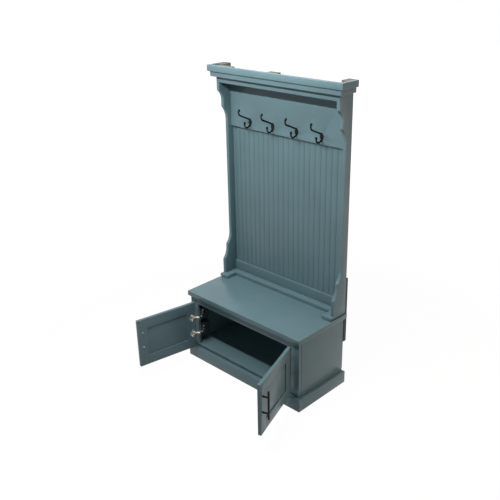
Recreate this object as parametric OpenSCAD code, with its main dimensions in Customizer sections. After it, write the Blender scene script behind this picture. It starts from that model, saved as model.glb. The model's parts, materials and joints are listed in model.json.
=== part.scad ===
// Hall tree: a bench cabinet with two doors, a hutch with coat hooks, and a crown.
// Lengths are in millimetres. X runs to the right, Y to the back and Z up.
// The origin is on the floor, at the centre of the plinth's footprint.

/* [Cabinet] */
// Width of the cabinet over its front stiles
body_w = 922; // [820:2:1060]
// Depth of the cabinet from the stile faces to the back
body_d = 414; // [360:2:480]
// Height of the seat above the floor
seat_h = 476; // [430:2:530]
// Width of each front stile
stile_w = 61; // [52:1:75]
// Height of the rail above the doors
rail_h = 46; // [36:1:60]
// Thickness of the front stiles and rail
frame_t = 19; // [16:1:24]
// Thickness of each side panel
panel_t = 16; // [12:1:20]
// How far a side panel lies behind the outer edge of its stile
panel_inset = 3; // [1:0.5:6]
// Width of the shadow groove between a stile and its side panel
groove_w = 6; // [3:0.5:12]
// Depth of that groove in the side panel
groove_d = 4; // [2:0.5:8]
// Thickness of the floor panel
floor_t = 15; // [12:1:20]
// Thickness of the cabinet's back panel
cab_back_t = 6; // [4:1:12]

/* [Bench top] */
// Thickness of the bench top
top_t = 32; // [24:1:40]
// How far the bench top laps over each side of the cabinet
top_lap_side = 12; // [4:1:24]
// How far it laps over the front
top_lap_front = 16; // [6:1:30]
// How far it laps over the back
top_lap_back = 12; // [4:1:20]

/* [Base] */
// Height of the plinth boards
plinth_h = 79; // [60:1:110]
// How far the plinth stands out from the cabinet
plinth_step = 21; // [12:1:30]
// Height of the shadow gap between plinth and cabinet
gap_h = 13; // [8:1:20]
// How far the shadow gap goes in behind the cabinet's faces
gap_in = 6; // [4:1:10]
// Thickness of the boards of the inner base frame
base_t = 20; // [18:1:26]
// Thickness of the rail under the middle of the floor
centre_rail_t = 20; // [16:1:30]

/* [Doors] */
// Thickness of a door
door_t = 19; // [18:0.5:22]
// How far a shut door laps over its stile
door_lap_side = 16; // [13:1:20]
// How far it laps over the top rail
door_lap_top = 21; // [18:1:30]
// How far it laps over the edge of the floor panel
door_lap_low = 10; // [9:0.5:13]
// Gap between the two shut doors
door_gap = 3; // [2:0.5:6]
// Gap between a shut door's back and the face frame
door_air = 1.5; // [1.5:0.1:2.5]
// Width of a door's stiles and rails
member_w = 66; // [58:1:80]
// Thickness of a door's flat panel
door_panel_t = 6; // [4:0.5:9]
// How far the flat panel goes into its frame
tongue = 8; // [5:0.5:12]
// Room left beyond the edge of the flat panel in its frame
tongue_air = 0.5; // [0.2:0.1:1]
// How far the left door stands open
left_open = 100; // [0:1:110]
// How far the right door stands open
right_open = 109; // [0:1:110]

/* [Hinges] */
// Outer diameter of a hinge cup
cup_d = 34.8; // [34:0.2:37]
// Depth of a hinge cup
cup_depth = 13.8; // [12.5:0.1:14]
// Distance from the door's edge to a cup's centre
cup_edge = 26; // [24:0.5:28]
// Thickness of a cup's wall
cup_wall = 1; // [0.8:0.1:1.2]
// Thickness of a cup's flange
flange_t = 1.2; // [0.8:0.1:1.2]
// Height of each hinge above or below the middle of the door
hinge_half_span = 57; // [50:1:90]
// Thickness of a hinge link
link_t = 4; // [3:0.1:4.5]
// Width of a hinge link
link_w = 9.4; // [6:0.2:11]
// Thickness of a hinge arm
arm_t = 7.5; // [5:0.5:9]
// Thickness of the two cheeks that a link turns between
cheek_t = 2; // [1.5:0.1:3]
// Depth of the wooden block behind each hinge
hinge_block_d = 70; // [62:1:100]
// Height of the wooden block behind each hinge
hinge_block_h = 80; // [66:1:96]

/* [Handles] */
// Length of a bar handle
bar_len = 178; // [150:1:220]
// Diameter of the bar
bar_d = 12; // [8:0.5:14]
// Diameter of a post
post_d = 10; // [7:0.5:11]
// Distance between the posts
post_span = 102; // [76:1:128]
// Distance from the door's face to the middle of the bar
bar_out = 32; // [26:1:42]
// Distance from the door's free edge to the bar
bar_edge = 31; // [20:1:36]
// Height of the bar above the middle of the door
bar_up = 22; // [0:1:40]

/* [Hutch] */
// Overall height of the hall tree
total_h = 1866; // [1700:2:2000]
// How far each side board of the hutch stands out from the side of the cabinet
hutch_past_body = 6; // [0:0.5:10]
// Distance from the back edge of the bench top to the hutch's back
hutch_inset = 12.5; // [8:0.5:24]
// Thickness of the hutch's side boards
side_t = 22; // [18:1:28]
// Depth of a side board at its widest
side_d = 107; // [92:1:124]
// Depth of each scalloped step in a side board
step_d = 32; // [20:0.5:36]
// Height of the wide foot of a side board
foot_h = 98; // [80:1:140]
// Height of the foot's lower cove
foot_cove_one_h = 80; // [40:1:100]
// Straight stretch between the two coves of the foot
foot_land = 20; // [10:1:80]
// Height of the foot's upper cove
foot_cove_two_h = 74; // [40:1:100]
// Height of the wide head of a side board
head_h = 98; // [80:1:130]
// Height of the head's upper cove
head_cove_one_h = 60; // [40:1:100]
// Straight stretch between the two coves of the head
head_land = 43; // [20:1:90]
// Height of the head's lower cove
head_cove_two_h = 80; // [40:1:100]
// Thickness of the beaded back panel
back_t = 5; // [4:0.5:9]
// Distance between the beads' grooves
bead_pitch = 40.5; // [30:0.5:60]
// Width of a bead groove
bead_groove_w = 4; // [2:0.5:6]
// Depth of a bead groove
bead_groove_d = 2.5; // [1:0.5:3.5]
// Thickness of the board that carries the hooks
hook_board_t = 15; // [11:0.5:18]
// Distance from the hook board's lower edge to the underside of the top board
hook_board_h = 326; // [260:2:380]
// Height of the rail at the foot of the back
foot_rail_h = 65; // [40:1:90]
// Thickness of that rail
foot_rail_t = 12; // [10:1:20]
// Height of the header rail between the side boards
header_h = 49; // [40:1:70]
// Thickness of the header rail
header_t = 18; // [14:1:24]

/* [Hutch base] */
// Thickness of the plates that the hutch stands on
plate_t = 25; // [18:1:32]
// Width of the plate under each side board
plate_w = 66; // [50:1:90]
// How far a plate reaches in front of its side board
plate_reach = 30; // [16:1:50]
// Height of the shadow groove along the outer foot of each plate
plate_groove_h = 8; // [4:1:10]
// Depth of that groove
plate_groove_d = 10; // [4:1:14]
// Depth of the strip that joins the plates at the back
strip_d = 60; // [34:1:80]

/* [Crown] */
// Thickness of the board on top of the hutch
top_board_t = 18; // [14:1:24]
// Height of the moulding
mould_h = 31; // [26:1:40]
// How far the moulding stands out at the front
mould_front = 26; // [18:1:40]
// How far it stands out at each side
mould_side = 26; // [18:1:34]
// Height of the fascia
fascia_h = 37; // [28:1:50]
// Thickness of the fascia
fascia_t = 20; // [19:1:26]
// How far the fascia stands out past the moulding at the front
fascia_step_front = 11; // [6:1:15]
// How far it stands out past the moulding at each side
fascia_step_side = 15; // [6:1:16]
// How far the crown stops short of the hutch's back
crown_short = 10; // [0:1:16]
// Width of a corner block
corner_block_w = 46; // [36:1:60]
// Depth of a corner block
corner_block_d = 64; // [40:1:76]
// Half the width of the middle glue block
glue_half_w = 36; // [20:1:50]
// Depth of the middle glue block
glue_d = 38; // [26:1:50]
// Width of the side glue block
side_glue_w = 90; // [60:1:110]
// How much lower the side glue block is than the fascia
side_glue_low = 2; // [1:1:12]

/* [Hooks] */
// Distance between neighbouring hooks
hook_pitch = 185; // [160:1:210]
// Height of the hooks' middle above the lower edge of the hook board
hook_up = 45; // [40:1:80]
// Width of a hook's back plate
hook_plate_w = 22; // [20:1:26]
// Height of a hook's back plate
hook_plate_h = 46; // [46:1:52]
// Thickness of a hook's back plate
hook_plate_t = 5; // [5:0.5:7]
// Diameter of a hook's rod
rod_d = 8; // [6:0.5:9]
// Diameter of the knobs at the rod's ends
knob_d = 11; // [10:0.5:14]
// Slope of the upper arm
arm_slope = 24; // [16:1:32]
// Radius of the upper arm's bend
arm_bend_r = 21; // [16:1:26]
// How far the upper arm reaches out from the board
arm_reach = 98.5; // [80:0.5:110]
// Height of the centre of the upper bend above the plate's middle
arm_rise = 72; // [64:1:80]
// Radius of the lower curl
curl_r = 22; // [18:1:26]
// Distance from the board to the centre of the lower curl
curl_out = 27.5; // [25:0.5:32]
// Drop of the lower curl's centre below the plate's middle
curl_drop = 7.5; // [5:0.5:10]

/* [Joining cleats] */
// Width of a cleat that joins the hutch to the cabinet
cleat_w = 36; // [24:1:50]
// Wood left behind the bench top's edge where a cleat is notched
cleat_behind = 11.5; // [8:0.5:20]
// How far a cleat reaches below the seat
cleat_below = 195; // [120:5:300]
// How far it reaches above the seat
cleat_above = 227; // [120:5:300]

/* [Hidden] */

// Colours
paint = "#6f8990";
shaded_paint = "#4f666c";
raw_wood = "#6d5b4a";
dark_wood = "#2c3436";
black_iron = "#1d1d20";
steel = "#c9c4ad";
dark_rubber = "#1a1c1e";

// Smoothness of round faces
$fn = 48;
round_fn = 96;

// Heights of the cabinet
body_z = plinth_h + gap_h;
floor_z = body_z + floor_t;
top_z = seat_h - top_t;
rail_z = top_z - rail_h;

// Places across the cabinet
body_x = body_w / 2;
panel_x = body_x - panel_inset;
inner_x = panel_x - panel_t;
open_x = body_x - stile_w;
base_x = body_x - gap_in;

// Places along the depth of the cabinet
plinth_y = (body_d + plinth_step) / 2;
front_y = plinth_step - plinth_y;
back_y = plinth_y;
frame_back_y = front_y + frame_t;
base_front_y = front_y + gap_in;
cab_back_y = back_y - cab_back_t;
top_back_y = back_y + top_lap_back;

// Doors: a runs from the hinge edge, b from the front face to the back
hinge_x = open_x + door_lap_side;
door_w = hinge_x - door_gap / 2;
door_y = front_y - door_air - door_t;
door_low_z = floor_z - door_lap_low;
door_top_z = rail_z + door_lap_top;
door_mid_z = (door_low_z + door_top_z) / 2;
panel_b = (door_t - door_panel_t) / 2;
hinge_z = [door_mid_z - hinge_half_span, door_mid_z + hinge_half_span];

// Hinge parts, in the same a and b. A door, and the links that follow it, turn about the line
// a = b = 0. A link turns by this share of its door's angle.
link_share = 0.533;
hinge_air = 0.3;
cup_bore_r = cup_d / 2 + 0.1;
cup_low_b = door_t - cup_depth;
cup_floor_b = cup_low_b + cup_wall;
cup_inner_r = cup_d / 2 - cup_wall;
flange_b = door_t + flange_t;
flange_r = cup_d / 2 + 2;
flange_ear_r = 6;
flange_ear_z = 22;
link_rim_a = cup_edge - sqrt(pow(cup_inner_r, 2) - pow(link_w / 2, 2));
link_in_r = norm([link_rim_a, flange_b]) + hinge_air;
link_mid_r = link_in_r + link_t / 2;
link_back_a = door_lap_side + hinge_air;
link_low_angle = asin((cup_floor_b + hinge_air) / link_in_r);
link_high_angle = acos((link_back_a + link_t / 2) / link_mid_r);
arm_w = link_w + 2 * (hinge_air + cheek_t);
arm_end_a = cup_edge + sqrt(pow(cup_inner_r, 2) - pow(arm_w / 2, 2)) - 2 * hinge_air;
arm_a = arm_end_a - arm_t;
arm_nose_b = cup_floor_b + hinge_air;
link_tip_b = sqrt(pow(arm_end_a, 2) + pow(arm_nose_b, 2) - pow(link_back_a, 2));
link_reach = norm([link_back_a + link_t, link_tip_b]);
arm_solid_b = sqrt(pow(link_reach, 2) - pow(arm_a, 2)) + 1;
plate_b = link_reach + 1;
plate_l = 36;
plate_pad_w = 12;
plate_wing_b = plate_b + 10;
plate_wing_d = 16;
plate_wing_z = 28;
plate_wing_t = 2;
plate_screw_z = 21;

// Screws: head radius and height, shank radius and length, and room round a shank
screw_air = 0.1;
small_head_r = 3.4;
small_head_h = 1.6;
small_shank_r = 1.7;
cup_screw_l = 8;
plate_screw_l = 14;
handle_head_r = 4.5;
handle_head_h = 2.5;
handle_shank_r = 2;
handle_thread_l = 10;
cleat_head_r = 5;
cleat_head_h = 3;
cleat_shank_r = 2.2;
cleat_bite = 20;

// Pads that the doors close on
pad_t = 1.2;
pad_r = 5;
pad_in = 10;
bumper_r = 3.5;
bumper_x = 9;
bumper_z = floor_z - bumper_r - 1.5;

// Handles
bar_a = door_w - bar_edge;
bar_z = door_mid_z + bar_up;

// Hutch
hutch_x = body_x + hutch_past_body;
hutch_in_x = hutch_x - side_t;
hutch_back_y = top_back_y - hutch_inset;
side_back_y = hutch_back_y - back_t;
side_front_y = side_back_y - side_d;
plate_top_z = seat_h + plate_t;
mould_top_z = total_h - fascia_h;
mould_low_z = mould_top_z - mould_h;
side_top_z = mould_top_z - top_board_t;
side_h = side_top_z - plate_top_z;
hook_board_z = side_top_z - hook_board_h;
hook_board_y = side_back_y - hook_board_t;
half_grooves = floor((hutch_in_x - bead_groove_w) / bead_pitch + 0.5);

// Crown
crown_back_y = hutch_back_y - crown_short;
mould_x = hutch_x + mould_side;
mould_y = side_front_y - mould_front;
fascia_x = mould_x + fascia_step_side;
fascia_y = mould_y - fascia_step_front;
fascia_in_x = fascia_x - fascia_t;
fascia_in_y = fascia_y + fascia_t;
side_glue_gap = 26;
side_glue_x = -fascia_in_x + corner_block_w + side_glue_gap;

// Hooks
hook_z = hook_board_z + hook_up;
hook_count = 4;
hook_screw_up = [5, -8];
hook_screw_l = hook_plate_t + hook_board_t - 2;
arm_tip_angle = 35;
curl_start_angle = -120;
curl_tip_l = 8;
bend_thinner = 0.4;
bend_lap = 1;

// Joining cleats
cleat_x = body_x;
cleat_back_y = top_back_y + cleat_behind;
cleat_screw_from_end = 25;
cleat_screw_from_top = 30;
cleat_screw_from_plate = 40;
cleat_screw_z = [seat_h - cleat_below + cleat_screw_from_end, seat_h - top_t - cleat_screw_from_top,
                 plate_top_z + cleat_screw_from_plate, seat_h + cleat_above - cleat_screw_from_end];

// A board between two corners
module board(low, high) {
    translate(low) cube(high - low);
}

// A screw along +Z, its head above z = 0 and its shank below
module screw(head_r, head_h, shank_r, shank_l) {
    cylinder(r = head_r, h = head_h);
    translate([0, 0, -shank_l]) cylinder(r = shank_r, h = shank_l);
}

// The hole that a screw's shank goes into
module screw_hole(shank_r, shank_l) {
    translate([0, 0, -shank_l]) cylinder(r = shank_r + screw_air, h = shank_l + 1);
}

// Sets a shape drawn for the left side on the side given: -1 left, 1 right
module on_side(side) {
    if (side < 0) children();
    else mirror([1, 0, 0]) children();
}

// Places a, b and z of a door that is turned open by the angle given
module on_hinge_line(side, angle) {
    translate([side * hinge_x, door_y, 0]) rotate([0, 0, side * angle]) on_side(side) children();
}

function open_angle(side) = side < 0 ? left_open : right_open;

module on_door(side) {
    on_hinge_line(side, open_angle(side)) children();
}

// Places a, b and z of a shut door, for what stays on the cabinet
module on_cabinet_hinge(side) {
    on_hinge_line(side, 0) children();
}

// Turns Z to point along +b, out of a door's back
module out_of_back() {
    rotate([-90, 0, 0]) children();
}

// Base
module plinth_front() {
    color(paint)
        board([-body_x - plinth_step, -plinth_y, 0], [body_x + plinth_step, base_front_y, plinth_h]);
}

module plinth_side(side) {
    color(shaded_paint) on_side(side)
        board([-body_x - plinth_step, base_front_y, 0], [-base_x, back_y, plinth_h]);
}

module base_frame() {
    color(shaded_paint) {
        board([-base_x, base_front_y, 0], [base_x, base_front_y + base_t, body_z]);
        board([-base_x, back_y - base_t, 0], [base_x, back_y, body_z]);
        for (side = [-1, 1])
            on_side(side)
                board([-base_x, base_front_y + base_t, 0], [base_t - base_x, back_y - base_t, body_z]);
    }
}

module centre_rail() {
    color(raw_wood)
        board([base_t - base_x, -centre_rail_t / 2, 0], [base_x - base_t, centre_rail_t / 2, body_z]);
}

// Cabinet
module floor_panel() {
    color(shaded_paint) {
        board([-inner_x, frame_back_y, body_z], [inner_x, cab_back_y, floor_z]);
        board([-open_x, front_y, body_z], [open_x, frame_back_y, floor_z]);
    }
}

module cleat_screw_places(side) {
    for (z = cleat_screw_z)
        translate([side * (cleat_x - cleat_w / 2), cleat_back_y, z]) out_of_back() children();
}

module cabinet_side(side) {
    color(paint) on_side(side) difference() {
        board([-panel_x, frame_back_y, body_z], [-inner_x, back_y, top_z]);
        translate([-panel_x - 1, frame_back_y - 1, body_z - 1])
            cube([groove_d + 1, groove_w + 1, top_z - body_z + 2]);
    }
}

module cabinet_back() {
    color(shaded_paint) board([-inner_x, cab_back_y, body_z], [inner_x, back_y, top_z]);
}

module face_stile(side) {
    color(paint) on_side(side) board([-body_x, front_y, body_z], [-open_x, frame_back_y, top_z]);
}

module top_rail() {
    color(paint) board([-open_x, front_y, rail_z], [open_x, frame_back_y, top_z]);
}

module bench_top() {
    color(paint)
        board([-body_x - top_lap_side, front_y - top_lap_front, top_z],
              [body_x + top_lap_side, top_back_y, seat_h]);
}

// The parts of the hinges that stay on the cabinet
module plate_screw_places(side) {
    for (z = hinge_z)
        for (up = [-1, 1])
            on_cabinet_hinge(side)
                translate([door_lap_side + plate_wing_t, plate_wing_b + plate_wing_d / 2,
                           z + up * plate_screw_z])
                    rotate([0, 90, 0]) children();
}

module hinge_blocks() {
    block_b = frame_back_y - door_y;
    color(dark_wood) for (side = [-1, 1])
        difference() {
            for (z = hinge_z)
                on_cabinet_hinge(side)
                    board([door_lap_side + open_x - inner_x, block_b, z - hinge_block_h / 2],
                          [door_lap_side, block_b + hinge_block_d, z + hinge_block_h / 2]);
            plate_screw_places(side) screw_hole(small_shank_r, plate_screw_l);
        }
}

module hinge_plates() {
    color(steel) for (side = [-1, 1])
        difference() {
            for (z = hinge_z)
                on_cabinet_hinge(side) translate([door_lap_side, 0, z]) {
                    board([0, plate_wing_b, -plate_wing_z],
                          [plate_wing_t, plate_wing_b + plate_wing_d, plate_wing_z]);
                    board([0, plate_b, -plate_pad_w / 2],
                          [arm_a - door_lap_side, plate_b + plate_l, plate_pad_w / 2]);
                }
            plate_screw_places(side) screw_hole(small_shank_r, plate_screw_l);
        }
}

module hinge_arms() {
    color(steel) for (side = [-1, 1], z = hinge_z)
        on_cabinet_hinge(side) translate([arm_a, 0, z]) {
            board([0, arm_solid_b, -arm_w / 2], [arm_t, plate_b + plate_l, arm_w / 2]);
            for (low = [-arm_w / 2, arm_w / 2 - cheek_t])
                board([0, arm_nose_b, low], [arm_t, arm_solid_b, low + cheek_t]);
        }
}

module hinge_plate_screws() {
    color(steel) for (side = [-1, 1])
        plate_screw_places(side) screw(small_head_r, small_head_h, small_shank_r, plate_screw_l - 1);
}

module floor_bumpers() {
    color(dark_rubber) for (x = [-bumper_x, bumper_x])
        translate([x, front_y, bumper_z]) rotate([90, 0, 0]) cylinder(r = bumper_r, h = pad_t);
}

// The parts that turn with a door
module cup_screw_places(side) {
    on_door(side)
        for (z = hinge_z, up = [-1, 1])
            translate([cup_edge, flange_b, z + up * flange_ear_z]) out_of_back() children();
}

module handle_screw_places(side) {
    on_door(side)
        for (up = [-1, 1])
            translate([bar_a, door_t, bar_z + up * post_span / 2]) out_of_back() children();
}

// The slot round the flat panel, in the inner edges of the door's frame
module panel_slot(side) {
    reach = tongue + tongue_air;
    on_door(side)
        board([member_w - reach, panel_b, door_low_z + member_w - reach],
              [door_w - member_w + reach, panel_b + door_panel_t, door_top_z - member_w + reach]);
}

module door_hinge_stile(side) {
    color(paint) difference() {
        on_door(side) board([0, 0, door_low_z], [member_w, door_t, door_top_z]);
        panel_slot(side);
        on_door(side)
            for (z = hinge_z)
                translate([cup_edge, cup_low_b, z]) out_of_back()
                    cylinder(r = cup_bore_r, h = cup_depth + 1, $fn = round_fn);
        cup_screw_places(side) screw_hole(small_shank_r, cup_screw_l);
    }
}

module door_pull_stile(side) {
    color(paint) difference() {
        on_door(side) board([door_w - member_w, 0, door_low_z], [door_w, door_t, door_top_z]);
        panel_slot(side);
        handle_screw_places(side) screw_hole(handle_shank_r, door_t + 1);
    }
}

module door_rails(side) {
    color(paint) difference() {
        on_door(side)
            for (low = [door_low_z, door_top_z - member_w])
                board([member_w, 0, low], [door_w - member_w, door_t, low + member_w]);
        panel_slot(side);
    }
}

module door_panel(side) {
    color(paint) on_door(side)
        board([member_w - tongue, panel_b, door_low_z + member_w - tongue],
              [door_w - member_w + tongue, panel_b + door_panel_t, door_top_z - member_w + tongue]);
}

module hinge_cup() {
    difference() {
        union() {
            cylinder(r = cup_d / 2, h = cup_depth, $fn = round_fn);
            translate([0, 0, cup_depth]) {
                cylinder(r = flange_r, h = flange_t, $fn = round_fn);
                for (up = [-1, 1])
                    translate([0, up * flange_ear_z, 0]) cylinder(r = flange_ear_r, h = flange_t);
                translate([-flange_ear_r, -flange_ear_z, 0])
                    cube([2 * flange_ear_r, 2 * flange_ear_z, flange_t]);
            }
        }
        translate([0, 0, cup_wall]) cylinder(r = cup_inner_r, h = cup_depth + 1, $fn = round_fn);
        for (up = [-1, 1])
            translate([0, up * flange_ear_z, cup_depth + flange_t])
                screw_hole(small_shank_r, cup_screw_l);
    }
}

module hinge_cups(side) {
    color(steel) on_door(side)
        for (z = hinge_z)
            translate([cup_edge, cup_low_b, z]) out_of_back() hinge_cup();
}

module cup_screws(side) {
    color(steel) cup_screw_places(side)
        screw(small_head_r, small_head_h, small_shank_r, cup_screw_l - 1);
}

// A curved strip that reaches into the cup, with a straight tail between the arm's cheeks
module link_outline() {
    far = 2 * link_in_r;
    tail_b = link_mid_r * sin(link_high_angle);
    intersection() {
        difference() {
            circle(r = link_in_r + link_t, $fn = round_fn);
            circle(r = link_in_r, $fn = round_fn);
        }
        polygon([[0, 0], far * [cos(link_low_angle), sin(link_low_angle)],
                 far * [cos(link_high_angle), sin(link_high_angle)]]);
    }
    translate([link_back_a, tail_b]) square([link_t, link_tip_b - tail_b]);
}

module hinge_link() {
    translate([0, 0, -link_w / 2]) linear_extrude(link_w) link_outline();
}

module hinge_links(side) {
    color(steel) on_hinge_line(side, open_angle(side) * link_share)
        for (z = hinge_z)
            translate([0, 0, z]) hinge_link();
}

module handle(side) {
    color(black_iron) difference() {
        on_door(side) translate([bar_a, 0, bar_z]) {
            translate([0, -bar_out, -bar_len / 2]) cylinder(d = bar_d, h = bar_len);
            for (up = [-1, 1])
                translate([0, -bar_out, up * post_span / 2]) out_of_back()
                    cylinder(d = post_d, h = bar_out);
        }
        handle_screw_places(side) screw_hole(handle_shank_r, door_t + handle_thread_l);
    }
}

module handle_screws(side) {
    color(steel) handle_screw_places(side)
        screw(handle_head_r, handle_head_h, handle_shank_r, door_t + handle_thread_l - 1);
}

module door_pad(side) {
    color(dark_rubber) on_door(side)
        translate([door_w - pad_in, door_t, door_top_z - pad_in]) out_of_back()
            cylinder(r = pad_r, h = pad_t);
}

// Hutch
// The plates, each with a shadow groove along its outer foot
module hutch_base_plates() {
    plate_front_y = side_front_y - plate_reach;
    color(paint) for (side = [-1, 1])
        on_side(side) difference() {
            board([-hutch_x, plate_front_y, seat_h], [plate_w - hutch_x, hutch_back_y, plate_top_z]);
            board([-hutch_x - 1, plate_front_y - 1, seat_h - 1],
                  [plate_groove_d - hutch_x, hutch_back_y + 1, seat_h + plate_groove_h]);
        }
}

module hutch_base_strip() {
    color(paint)
        board([plate_w - hutch_x, hutch_back_y - strip_d, seat_h],
              [hutch_x - plate_w, hutch_back_y, plate_top_z]);
}

// A hollow curve that rises by h while it goes back by d, and ends upright
module cove(d, h) {
    radius = (d * d + h * h) / (2 * d);
    difference() {
        square([d, h]);
        translate([d - radius, h]) circle(r = radius, $fn = 2 * round_fn);
    }
}

// Two steps with a cove above each, drawn from the wide end up
module scallops(wide_h, first_h, land, last_h) {
    second_h = wide_h + first_h + land;
    square([side_d, wide_h]);
    translate([0, wide_h]) cove(step_d, first_h);
    translate([step_d, 0]) square([side_d - step_d, second_h]);
    translate([step_d, second_h]) cove(step_d, last_h);
}

// Outline of a side board, from its front edge back and from the plate up
module side_outline() {
    translate([2 * step_d, 0]) square([side_d - 2 * step_d, side_h]);
    scallops(foot_h, foot_cove_one_h, foot_land, foot_cove_two_h);
    translate([0, side_h]) mirror([0, 1])
        scallops(head_h, head_cove_one_h, head_land, head_cove_two_h);
}

module hutch_side(side) {
    color(paint) on_side(side)
        translate([-hutch_x, side_front_y, plate_top_z]) rotate([90, 0, 90])
            linear_extrude(side_t) side_outline();
}

// Outline of the beaded back from above, with a groove at each bead
module beaded_outline() {
    difference() {
        translate([-hutch_x, side_back_y]) square([2 * hutch_x, back_t]);
        for (place = [0.5 - half_grooves:half_grooves - 0.5])
            translate([place * bead_pitch, side_back_y])
                polygon([[-bead_groove_w / 2, -1], [-bead_groove_w / 2, 0], [0, bead_groove_d],
                         [bead_groove_w / 2, 0], [bead_groove_w / 2, -1]]);
    }
}

module beaded_back() {
    color(paint) translate([0, 0, plate_top_z]) linear_extrude(side_h) beaded_outline();
}

module hutch_foot_rail() {
    color(paint)
        board([-hutch_in_x, side_back_y - foot_rail_t, plate_top_z],
              [hutch_in_x, side_back_y, plate_top_z + foot_rail_h]);
}

// Each hook's place on the face of the hook board, with Z out of the board and Y up
module hook_place(index) {
    x = (index - (hook_count + 1) / 2) * hook_pitch;
    translate([x, hook_board_y, hook_z]) rotate([90, 0, 0]) children();
}

module hook_screw_places(index) {
    hook_place(index)
        for (up = hook_screw_up)
            translate([0, up, hook_plate_t]) children();
}

module hook_board() {
    color(paint) difference() {
        board([-hutch_in_x, hook_board_y, hook_board_z], [hutch_in_x, side_back_y, side_top_z]);
        for (index = [1:hook_count])
            hook_screw_places(index) screw_hole(small_shank_r, hook_screw_l);
    }
}

module header_rail() {
    color(paint)
        board([-hutch_in_x, side_front_y, side_top_z - header_h],
              [hutch_in_x, side_front_y + header_t, side_top_z]);
}

module hutch_top_board() {
    color(shaded_paint)
        board([-hutch_x, side_front_y, side_top_z], [hutch_x, hutch_back_y, mould_top_z]);
}

// Crown
module crown_moulding_front() {
    color(paint) board([-mould_x, mould_y, mould_low_z], [mould_x, side_front_y, mould_top_z]);
}

module crown_moulding_returns() {
    color(paint) for (side = [-1, 1])
        on_side(side)
            board([-mould_x, side_front_y, mould_low_z], [-hutch_x, crown_back_y, mould_top_z]);
}

module crown_fascia_front() {
    color(paint) board([-fascia_x, fascia_y, mould_top_z], [fascia_x, fascia_in_y, total_h]);
}

module crown_fascia_returns() {
    color(paint) for (side = [-1, 1])
        on_side(side)
            board([-fascia_x, fascia_in_y, mould_top_z], [-fascia_in_x, crown_back_y, total_h]);
}

module crown_corner_blocks() {
    color(raw_wood) for (side = [-1, 1])
        on_side(side)
            board([-fascia_in_x, crown_back_y - corner_block_d, mould_top_z],
                  [corner_block_w - fascia_in_x, crown_back_y, total_h]);
}

module crown_glue_blocks() {
    color(raw_wood) {
        board([-glue_half_w, fascia_in_y, mould_top_z], [glue_half_w, fascia_in_y + glue_d, total_h]);
        board([side_glue_x, fascia_in_y, mould_top_z],
              [side_glue_x + side_glue_w, fascia_in_y + glue_d - side_glue_low,
               total_h - side_glue_low]);
    }
}

// Hooks: drawn with X out from the board and Y up. A bend is a little thinner than the straight
// rod, which laps over its ends.
module rod_bend(radius, from, turn) {
    rotate([0, 0, from]) rotate_extrude(angle = turn, $fn = round_fn)
        translate([radius, 0]) circle(d = rod_d - bend_thinner, $fn = 32);
}

module rod_run(start, slope, length) {
    translate([start[0], start[1], 0]) rotate([0, 90, slope]) cylinder(d = rod_d, h = length, $fn = 32);
}

// How far out a rod starts, so that its sloping end stays inside the plate
function root_out(slope) = hook_plate_t - 0.1 - rod_d / 2 * sin(abs(slope));

module knob(place) {
    translate([place[0], place[1], 0]) sphere(d = knob_d, $fn = 32);
}

module upper_arm() {
    centre = [arm_reach - arm_bend_r, arm_rise];
    bend_start = centre + arm_bend_r * [sin(arm_slope), -cos(arm_slope)];
    run = (bend_start[0] - root_out(arm_slope)) / cos(arm_slope);
    root = bend_start - run * [cos(arm_slope), sin(arm_slope)];
    rod_run(root, arm_slope, run + bend_lap);
    translate([centre[0], centre[1], 0])
        rod_bend(arm_bend_r, arm_slope - 90, 90 - arm_slope + arm_tip_angle);
    knob(centre + arm_bend_r * [cos(arm_tip_angle), sin(arm_tip_angle)]);
}

module lower_curl() {
    centre = [curl_out, -curl_drop];
    bend_start = centre + curl_r * [cos(curl_start_angle), sin(curl_start_angle)];
    slope = curl_start_angle + 90;
    run = (bend_start[0] - root_out(slope)) / cos(slope);
    root = bend_start - run * [cos(slope), sin(slope)];
    rod_run(root, slope, run + bend_lap);
    translate([centre[0], centre[1], 0]) rod_bend(curl_r, curl_start_angle, -curl_start_angle);
    rod_run(centre + [curl_r, -bend_lap], 90, curl_tip_l + bend_lap);
    knob(centre + [curl_r, curl_tip_l]);
}

// The leaf-shaped plate against the board
module hook_plate() {
    half_w = hook_plate_w / 2;
    radius = (pow(hook_plate_h / 2, 2) + pow(half_w, 2)) / hook_plate_w;
    shift = radius - half_w;
    intersection() {
        translate([-shift, 0, 0]) cylinder(r = radius, h = hook_plate_t, $fn = round_fn);
        translate([shift, 0, 0]) cylinder(r = radius, h = hook_plate_t, $fn = round_fn);
    }
}

module hook(index) {
    color(black_iron) difference() {
        hook_place(index) {
            hook_plate();
            rotate([0, -90, 0]) {
                upper_arm();
                lower_curl();
            }
        }
        hook_screw_places(index) screw_hole(small_shank_r, hook_screw_l);
    }
}

module hook_screws() {
    color(raw_wood) for (index = [1:hook_count])
        hook_screw_places(index)
            screw(small_head_r, small_head_h, small_shank_r, hook_screw_l - 1);
}

// Cleats that hold the hutch on the cabinet, notched over the bench top
module joining_cleats() {
    color(dark_wood) for (side = [-1, 1])
        difference() {
            on_side(side) {
                board([-cleat_x, back_y, seat_h - cleat_below], [cleat_w - cleat_x, cleat_back_y, top_z]);
                board([-cleat_x, top_back_y, top_z], [cleat_w - cleat_x, cleat_back_y, seat_h]);
                board([-cleat_x, hutch_back_y, seat_h],
                      [cleat_w - cleat_x, cleat_back_y, seat_h + cleat_above]);
            }
            cleat_screw_places(side) screw_hole(cleat_shank_r, cleat_back_y - hutch_back_y + 1);
        }
}

module cleat_screws() {
    color(steel) for (side = [-1, 1])
        cleat_screw_places(side)
            screw(cleat_head_r, cleat_head_h, cleat_shank_r, cleat_back_y - back_y - 1);
}

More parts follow.
